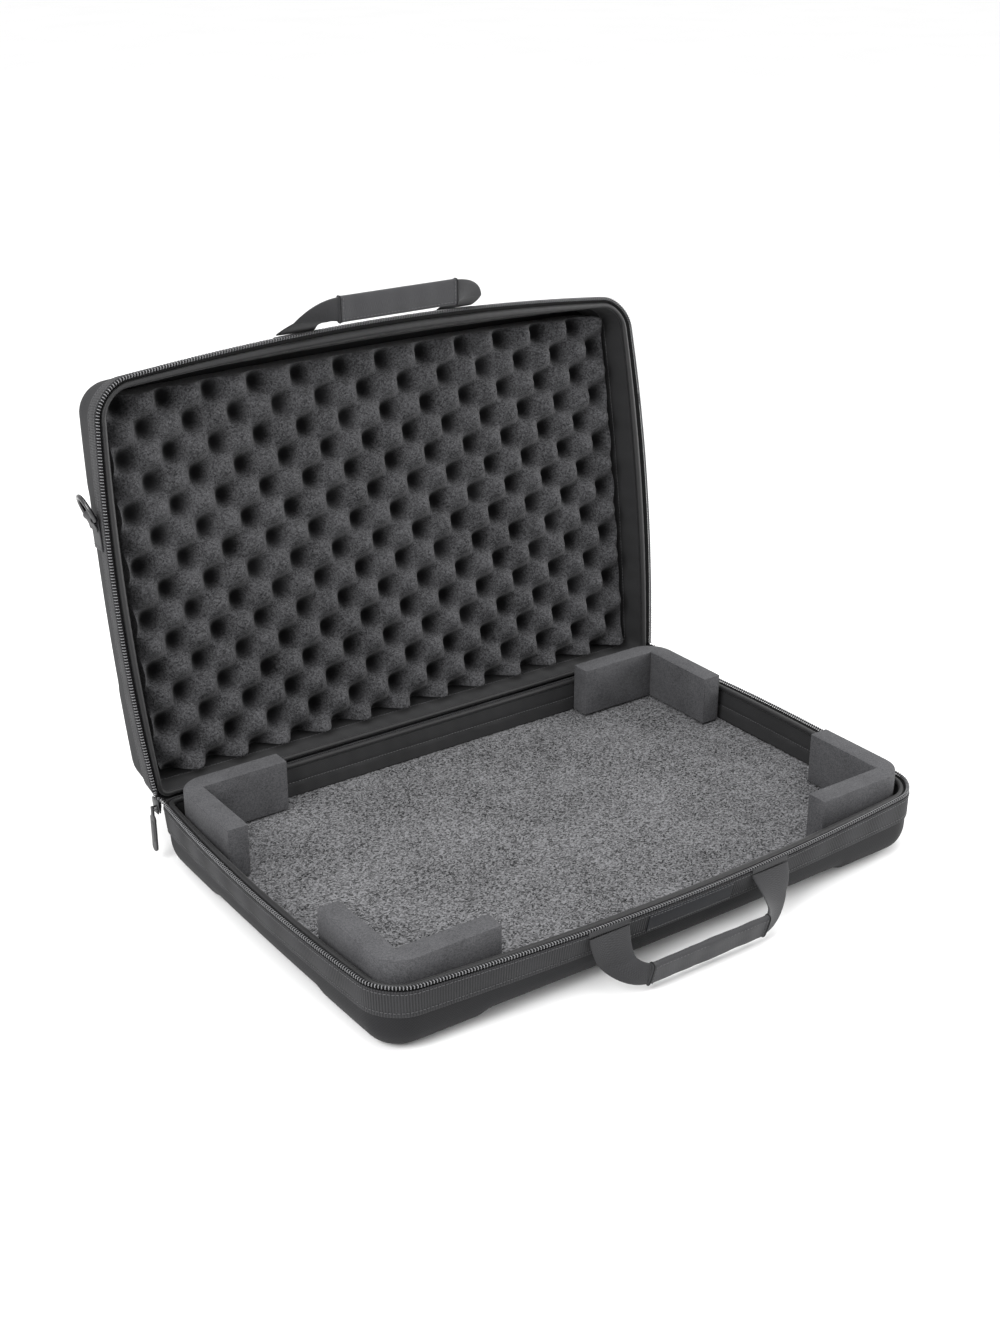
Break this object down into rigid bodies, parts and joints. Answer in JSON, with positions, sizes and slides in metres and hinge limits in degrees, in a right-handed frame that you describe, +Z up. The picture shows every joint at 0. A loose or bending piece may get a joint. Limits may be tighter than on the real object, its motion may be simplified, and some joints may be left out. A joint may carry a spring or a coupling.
{
  "type": "miniature carry case",
  "caption": "Soft-sided zipped carry case, shown open: moulded tray and hinged lid, foam corner blocks, convoluted foam in the lid, two handles and strap rings.",
  "frame": {"origin": "centre of the tray's inside floor, on top of the carpet", "axes": "+X along the length of the case, +Y from the front handle to the hinge, +Z up out of the open tray"},
  "size_m": [0.5446, 0.4994, 0.427],
  "materials": {
    "moulded_shell": "matte",
    "ribbed_band": "matte",
    "zip_tape": "matte",
    "zip_coil": "gloss",
    "rim_roll": "matte",
    "lining": "matte",
    "board_foam": "matte",
    "loop_carpet": "matte",
    "label": "satin",
    "webbing": "matte",
    "hinge_cloth": "matte",
    "sleeve_cloth": "matte",
    "slider_metal": "satin",
    "pull_rubber": "matte",
    "ring_metal": "satin",
    "convoluted_foam": "matte",
    "block_foam": "matte",
    "hook_tape": "matte"
  },
  "bodies": {
    "tray": {"tray_shell": "moulded_shell", "tray_edge_band": "ribbed_band", "tray_zip_tape": "zip_tape", "tray_zip_coil": "zip_coil", "tray_rim_roll": "rim_roll", "tray_wall_lining": "lining", "floor_board": "board_foam", "floor_carpet": "loop_carpet", "front_label": "label", "front_handle_anchors": "webbing", "hinge_leaf_tray": "hinge_cloth", "zip_slider_left": "slider_metal", "zip_slider_right": "slider_metal"},
    "front_handle": {"front_handle_webbing": "webbing", "front_handle_sleeve": "sleeve_cloth"},
    "lid": {"lid_shell": "moulded_shell", "lid_edge_band": "ribbed_band", "lid_zip_tape": "zip_tape", "lid_zip_coil": "zip_coil", "lid_rim_roll": "rim_roll", "lid_wall_lining": "lining", "lid_foam": "convoluted_foam", "lid_handle_anchors": "webbing", "hinge_leaf_lid": "hinge_cloth", "d_ring_tab_left": "webbing", "d_ring_tab_right": "webbing"},
    "lid_handle": {"lid_handle_webbing": "webbing", "lid_handle_sleeve": "sleeve_cloth"},
    "d_ring_left": {"d_ring_left": "ring_metal"},
    "d_ring_right": {"d_ring_right": "ring_metal"},
    "zip_pull_left": {"zip_pull_left": "pull_rubber"},
    "zip_pull_right": {"zip_pull_right": "pull_rubber"},
    "block_front_left": {"corner_block_front_left": "block_foam", "hook_strip_front_left": "hook_tape"},
    "block_front_right": {"corner_block_front_right": "block_foam", "hook_strip_front_right": "hook_tape"},
    "block_rear_left": {"corner_block_rear_left": "block_foam", "hook_strip_rear_left": "hook_tape"},
    "block_rear_right": {"corner_block_rear_right": "block_foam", "hook_strip_rear_right": "hook_tape"}
  },
  "joints": [
    {"name": "lid_hinge", "type": "hinge", "parent": "tray", "child": "lid", "pos_m": [0, 0.166, 0.026], "axis": [-1, 0, 0], "range_deg": [-98.5, 25]},
    {"name": "front_handle_swing", "type": "hinge", "parent": "tray", "child": "front_handle", "pos_m": [0, -0.18291, 0.0215], "axis": [-1, 0, 0], "range_deg": [-15, 57]},
    {"name": "lid_handle_swing", "type": "hinge", "parent": "lid", "child": "lid_handle", "pos_m": [0, 0.23389, 0.36864], "axis": [-1, 0, 0], "range_deg": [-5, 55]},
    {"name": "d_ring_swing_left", "type": "hinge", "parent": "lid", "child": "d_ring_left", "pos_m": [-0.26385, 0.23293, 0.25057], "axis": [-0.1631, -0.9758, 0.1458], "range_deg": [-20, 120]},
    {"name": "zip_pull_swing_left", "type": "hinge", "parent": "tray", "child": "zip_pull_left", "pos_m": [-0.262, 0.1675, 0.024], "axis": [0, 1, 0], "range_deg": [0, 165]},
    {"name": "d_ring_swing_right", "type": "hinge", "parent": "lid", "child": "d_ring_right", "pos_m": [0.26385, 0.23293, 0.25057], "axis": [-0.1631, 0.9758, -0.1458], "range_deg": [-20, 120]},
    {"name": "zip_pull_swing_right", "type": "hinge", "parent": "tray", "child": "zip_pull_right", "pos_m": [0.262, 0.1675, 0.024], "axis": [0, -1, 0], "range_deg": [0, 165]},
    {"name": "block_lift_front_left", "type": "slide", "parent": "tray", "child": "block_front_left", "axis": [0, 0, 1], "range_m": [0, 0.06]},
    {"name": "block_lift_front_right", "type": "slide", "parent": "tray", "child": "block_front_right", "axis": [0, 0, 1], "range_m": [0, 0.06]},
    {"name": "block_lift_rear_left", "type": "slide", "parent": "tray", "child": "block_rear_left", "axis": [0, 0, 1], "range_m": [0, 0.06]},
    {"name": "block_lift_rear_right", "type": "slide", "parent": "tray", "child": "block_rear_right", "axis": [0, 0, 1], "range_m": [0, 0.06]}
  ]
}
